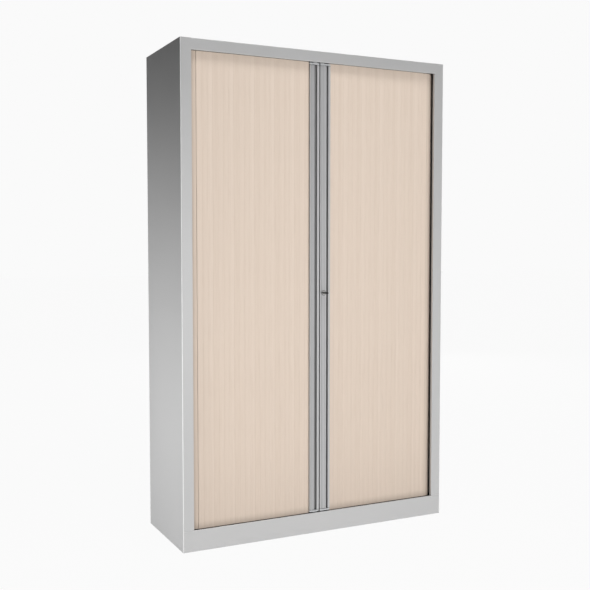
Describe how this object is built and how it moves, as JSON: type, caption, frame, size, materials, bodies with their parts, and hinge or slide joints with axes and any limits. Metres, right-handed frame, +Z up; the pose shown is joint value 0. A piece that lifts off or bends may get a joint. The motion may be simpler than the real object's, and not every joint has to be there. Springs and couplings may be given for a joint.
{
  "type": "tambour cupboard",
  "caption": "Tall steel cupboard with two tambour shutters of upright slats that slide sideways round its corners, shelves inside, a central lock with a key, and screw feet.",
  "frame": {"origin": "bottom centre of the bounding box, on the floor under the cupboard, key included", "axes": "+X to the right seen from the front, +Y to the back, +Z up"},
  "size_m": [1.2, 0.448, 1.98],
  "materials": {
    "carcass_paint": "fine smooth powder coat, satin, light grey",
    "interior_paint": "fine smooth powder coat, satin, light grey",
    "wood_decor": "pale maple wood decor on a rigid plastic profile, fine vertical grain",
    "lead_aluminium": "satin silver anodised",
    "shoe_plastic": "light grey moulded, satin",
    "track_plastic": "black extruded, matt",
    "foot_plastic": "black moulded, matt",
    "zinc_steel": "bright zinc plated",
    "lock_chrome": "polished nickel",
    "key_plastic": "black moulded bow, satin"
  },
  "bodies": {
    "carcass": {"side_panel_left": "carcass_paint", "side_panel_right": "carcass_paint", "top_panel": "carcass_paint", "plinth": "carcass_paint", "back_panel": "carcass_paint", "base_pan": "carcass_paint", "ceiling_pan": "carcass_paint", "floor_deck": "interior_paint", "side_liner_left": "interior_paint", "side_liner_right": "interior_paint", "back_liner": "interior_paint", "shelf_1": "interior_paint", "shelf_2": "interior_paint", "shelf_3": "interior_paint", "shelf_4": "interior_paint", "track_bottom_left": "track_plastic", "track_bottom_right": "track_plastic", "track_top_left": "track_plastic", "track_top_right": "track_plastic", "levelling_feet": "foot_plastic", "foot_nuts": "zinc_steel", "shelf_clips": "zinc_steel"},
    "left_shutter": {"lead_left": "lead_aluminium", "lead_shoes_left": "shoe_plastic", "strike_plate": "zinc_steel"},
    "right_shutter": {"lead_right": "lead_aluminium", "lead_shoes_right": "shoe_plastic", "lock_housing": "lock_chrome"},
    "lock": {"lock_cylinder": "zinc_steel", "key": "key_plastic", "lock_hook": "zinc_steel"},
    "left_slats_01": {"slats_left_01": "wood_decor"},
    "left_slats_02": {"slats_left_02": "wood_decor"},
    "left_slats_03": {"slats_left_03": "wood_decor"},
    "left_slats_04": {"slats_left_04": "wood_decor"},
    "left_slats_05": {"slats_left_05": "wood_decor"},
    "left_slats_06": {"slats_left_06": "wood_decor"},
    "left_slats_07": {"slats_left_07": "wood_decor"},
    "left_slats_08": {"slats_left_08": "wood_decor"},
    "left_slats_09": {"slats_left_09": "wood_decor"},
    "left_slats_10": {"slats_left_10": "wood_decor"},
    "left_slats_11": {"slats_left_11": "wood_decor"},
    "left_corner_1": {"corner_slat_left_1": "wood_decor"},
    "left_corner_2": {"corner_slat_left_2": "wood_decor"},
    "left_corner_3": {"corner_slat_left_3": "wood_decor"},
    "right_slats_01": {"slats_right_01": "wood_decor"},
    "right_slats_02": {"slats_right_02": "wood_decor"},
    "right_slats_03": {"slats_right_03": "wood_decor"},
    "right_slats_04": {"slats_right_04": "wood_decor"},
    "right_slats_05": {"slats_right_05": "wood_decor"},
    "right_slats_06": {"slats_right_06": "wood_decor"},
    "right_slats_07": {"slats_right_07": "wood_decor"},
    "right_slats_08": {"slats_right_08": "wood_decor"},
    "right_slats_09": {"slats_right_09": "wood_decor"},
    "right_slats_10": {"slats_right_10": "wood_decor"},
    "right_slats_11": {"slats_right_11": "wood_decor"},
    "right_corner_1": {"corner_slat_right_1": "wood_decor"},
    "right_corner_2": {"corner_slat_right_2": "wood_decor"},
    "right_corner_3": {"corner_slat_right_3": "wood_decor"}
  },
  "joints": [
    {"name": "left_shutter_slide", "type": "slide", "parent": "carcass", "child": "left_shutter", "axis": [-1, 0, 0], "range_m": [0, 0.505]},
    {"name": "left_slats_01_slide", "type": "slide", "parent": "carcass", "child": "left_slats_01", "axis": [-1, 0, 0], "range_m": [0, 0.505], "deforming": ["slats_left_01"]},
    {"name": "left_slats_02_slide", "type": "slide", "parent": "carcass", "child": "left_slats_02", "axis": [-1, 0, 0], "range_m": [0, 0.46131], "deforming": ["slats_left_02"]},
    {"name": "left_slats_03_slide", "type": "slide", "parent": "carcass", "child": "left_slats_03", "axis": [-1, 0, 0], "range_m": [0, 0.41762], "deforming": ["slats_left_03"]},
    {"name": "left_slats_04_slide", "type": "slide", "parent": "carcass", "child": "left_slats_04", "axis": [-1, 0, 0], "range_m": [0, 0.37393], "deforming": ["slats_left_04"]},
    {"name": "left_slats_05_slide", "type": "slide", "parent": "carcass", "child": "left_slats_05", "axis": [-1, 0, 0], "range_m": [0, 0.33024], "deforming": ["slats_left_05"]},
    {"name": "left_slats_06_slide", "type": "slide", "parent": "carcass", "child": "left_slats_06", "axis": [-1, 0, 0], "range_m": [0, 0.28655], "deforming": ["slats_left_06"]},
    {"name": "left_slats_07_slide", "type": "slide", "parent": "carcass", "child": "left_slats_07", "axis": [-1, 0, 0], "range_m": [0, 0.24286], "deforming": ["slats_left_07"]},
    {"name": "left_slats_08_slide", "type": "slide", "parent": "carcass", "child": "left_slats_08", "axis": [-1, 0, 0], "range_m": [0, 0.19916], "deforming": ["slats_left_08"]},
    {"name": "left_slats_09_slide", "type": "slide", "parent": "carcass", "child": "left_slats_09", "axis": [-1, 0, 0], "range_m": [0, 0.15547], "deforming": ["slats_left_09"]},
    {"name": "left_slats_10_slide", "type": "slide", "parent": "carcass", "child": "left_slats_10", "axis": [-1, 0, 0], "range_m": [0, 0.11178], "deforming": ["slats_left_10"]},
    {"name": "left_slats_11_slide", "type": "slide", "parent": "carcass", "child": "left_slats_11", "axis": [-1, 0, 0], "range_m": [0, 0.06809], "deforming": ["slats_left_11"]},
    {"name": "left_corner_1_turn", "type": "hinge", "parent": "carcass", "child": "left_corner_1", "pos_m": [-0.5276, -0.136, 0.99], "axis": [0, 0, -1], "range_deg": [0, 75.96], "deforming": ["corner_slat_left_1"]},
    {"name": "left_corner_2_turn", "type": "hinge", "parent": "carcass", "child": "left_corner_2", "pos_m": [-0.5276, -0.136, 0.99], "axis": [0, 0, -1], "range_deg": [0, 47.86], "deforming": ["corner_slat_left_2"]},
    {"name": "left_corner_3_turn", "type": "hinge", "parent": "carcass", "child": "left_corner_3", "pos_m": [-0.5276, -0.136, 0.99], "axis": [0, 0, -1], "range_deg": [0, 19.75], "deforming": ["corner_slat_left_3"]},
    {"name": "right_shutter_slide", "type": "slide", "parent": "carcass", "child": "right_shutter", "axis": [1, 0, 0], "range_m": [0, 0.5012]},
    {"name": "right_slats_01_slide", "type": "slide", "parent": "carcass", "child": "right_slats_01", "axis": [1, 0, 0], "range_m": [0, 0.5012], "deforming": ["slats_right_01"]},
    {"name": "right_slats_02_slide", "type": "slide", "parent": "carcass", "child": "right_slats_02", "axis": [1, 0, 0], "range_m": [0, 0.45786], "deforming": ["slats_right_02"]},
    {"name": "right_slats_03_slide", "type": "slide", "parent": "carcass", "child": "right_slats_03", "axis": [1, 0, 0], "range_m": [0, 0.41451], "deforming": ["slats_right_03"]},
    {"name": "right_slats_04_slide", "type": "slide", "parent": "carcass", "child": "right_slats_04", "axis": [1, 0, 0], "range_m": [0, 0.37117], "deforming": ["slats_right_04"]},
    {"name": "right_slats_05_slide", "type": "slide", "parent": "carcass", "child": "right_slats_05", "axis": [1, 0, 0], "range_m": [0, 0.32782], "deforming": ["slats_right_05"]},
    {"name": "right_slats_06_slide", "type": "slide", "parent": "carcass", "child": "right_slats_06", "axis": [1, 0, 0], "range_m": [0, 0.28447], "deforming": ["slats_right_06"]},
    {"name": "right_slats_07_slide", "type": "slide", "parent": "carcass", "child": "right_slats_07", "axis": [1, 0, 0], "range_m": [0, 0.24113], "deforming": ["slats_right_07"]},
    {"name": "right_slats_08_slide", "type": "slide", "parent": "carcass", "child": "right_slats_08", "axis": [1, 0, 0], "range_m": [0, 0.19778], "deforming": ["slats_right_08"]},
    {"name": "right_slats_09_slide", "type": "slide", "parent": "carcass", "child": "right_slats_09", "axis": [1, 0, 0], "range_m": [0, 0.15444], "deforming": ["slats_right_09"]},
    {"name": "right_slats_10_slide", "type": "slide", "parent": "carcass", "child": "right_slats_10", "axis": [1, 0, 0], "range_m": [0, 0.11109], "deforming": ["slats_right_10"]},
    {"name": "right_slats_11_slide", "type": "slide", "parent": "carcass", "child": "right_slats_11", "axis": [1, 0, 0], "range_m": [0, 0.06775], "deforming": ["slats_right_11"]},
    {"name": "right_corner_1_turn", "type": "hinge", "parent": "carcass", "child": "right_corner_1", "pos_m": [0.5276, -0.136, 0.99], "axis": [0, 0, 1], "range_deg": [0, 76.07], "deforming": ["corner_slat_right_1"]},
    {"name": "right_corner_2_turn", "type": "hinge", "parent": "carcass", "child": "right_corner_2", "pos_m": [0.5276, -0.136, 0.99], "axis": [0, 0, 1], "range_deg": [0, 48.19], "deforming": ["corner_slat_right_2"]},
    {"name": "right_corner_3_turn", "type": "hinge", "parent": "carcass", "child": "right_corner_3", "pos_m": [0.5276, -0.136, 0.99], "axis": [0, 0, 1], "range_deg": [0, 20.32], "deforming": ["corner_slat_right_3"]},
    {"name": "lock_turn", "type": "hinge", "parent": "right_shutter", "child": "lock", "pos_m": [0.019, -0.196, 1], "axis": [0, 1, 0], "range_deg": [0, 90]}
  ],
  "couplings": [
    {"joint": "left_slats_01_slide", "follows": "left_shutter_slide", "ratio": 1},
    {"joint": "left_slats_02_slide", "follows": "left_shutter_slide", "ratio": 0.91348},
    {"joint": "left_slats_03_slide", "follows": "left_shutter_slide", "ratio": 0.82697},
    {"joint": "left_slats_04_slide", "follows": "left_shutter_slide", "ratio": 0.74045},
    {"joint": "left_slats_05_slide", "follows": "left_shutter_slide", "ratio": 0.65393},
    {"joint": "left_slats_06_slide", "follows": "left_shutter_slide", "ratio": 0.56742},
    {"joint": "left_slats_07_slide", "follows": "left_shutter_slide", "ratio": 0.4809},
    {"joint": "left_slats_08_slide", "follows": "left_shutter_slide", "ratio": 0.39438},
    {"joint": "left_slats_09_slide", "follows": "left_shutter_slide", "ratio": 0.30787},
    {"joint": "left_slats_10_slide", "follows": "left_shutter_slide", "ratio": 0.22135},
    {"joint": "left_slats_11_slide", "follows": "left_shutter_slide", "ratio": 0.13483},
    {"joint": "left_corner_1_turn", "follows": "left_shutter_slide", "rad_per_m": 2.6249},
    {"joint": "left_corner_2_turn", "follows": "left_shutter_slide", "rad_per_m": 1.6536},
    {"joint": "left_corner_3_turn", "follows": "left_shutter_slide", "rad_per_m": 0.68235},
    {"joint": "right_slats_01_slide", "follows": "right_shutter_slide", "ratio": 1},
    {"joint": "right_slats_02_slide", "follows": "right_shutter_slide", "ratio": 0.91352},
    {"joint": "right_slats_03_slide", "follows": "right_shutter_slide", "ratio": 0.82703},
    {"joint": "right_slats_04_slide", "follows": "right_shutter_slide", "ratio": 0.74055},
    {"joint": "right_slats_05_slide", "follows": "right_shutter_slide", "ratio": 0.65407},
    {"joint": "right_slats_06_slide", "follows": "right_shutter_slide", "ratio": 0.56758},
    {"joint": "right_slats_07_slide", "follows": "right_shutter_slide", "ratio": 0.4811},
    {"joint": "right_slats_08_slide", "follows": "right_shutter_slide", "ratio": 0.39462},
    {"joint": "right_slats_09_slide", "follows": "right_shutter_slide", "ratio": 0.30813},
    {"joint": "right_slats_10_slide", "follows": "right_shutter_slide", "ratio": 0.22165},
    {"joint": "right_slats_11_slide", "follows": "right_shutter_slide", "ratio": 0.13517},
    {"joint": "right_corner_1_turn", "follows": "right_shutter_slide", "rad_per_m": 2.6487},
    {"joint": "right_corner_2_turn", "follows": "right_shutter_slide", "rad_per_m": 1.6779},
    {"joint": "right_corner_3_turn", "follows": "right_shutter_slide", "rad_per_m": 0.70708}
  ]
}
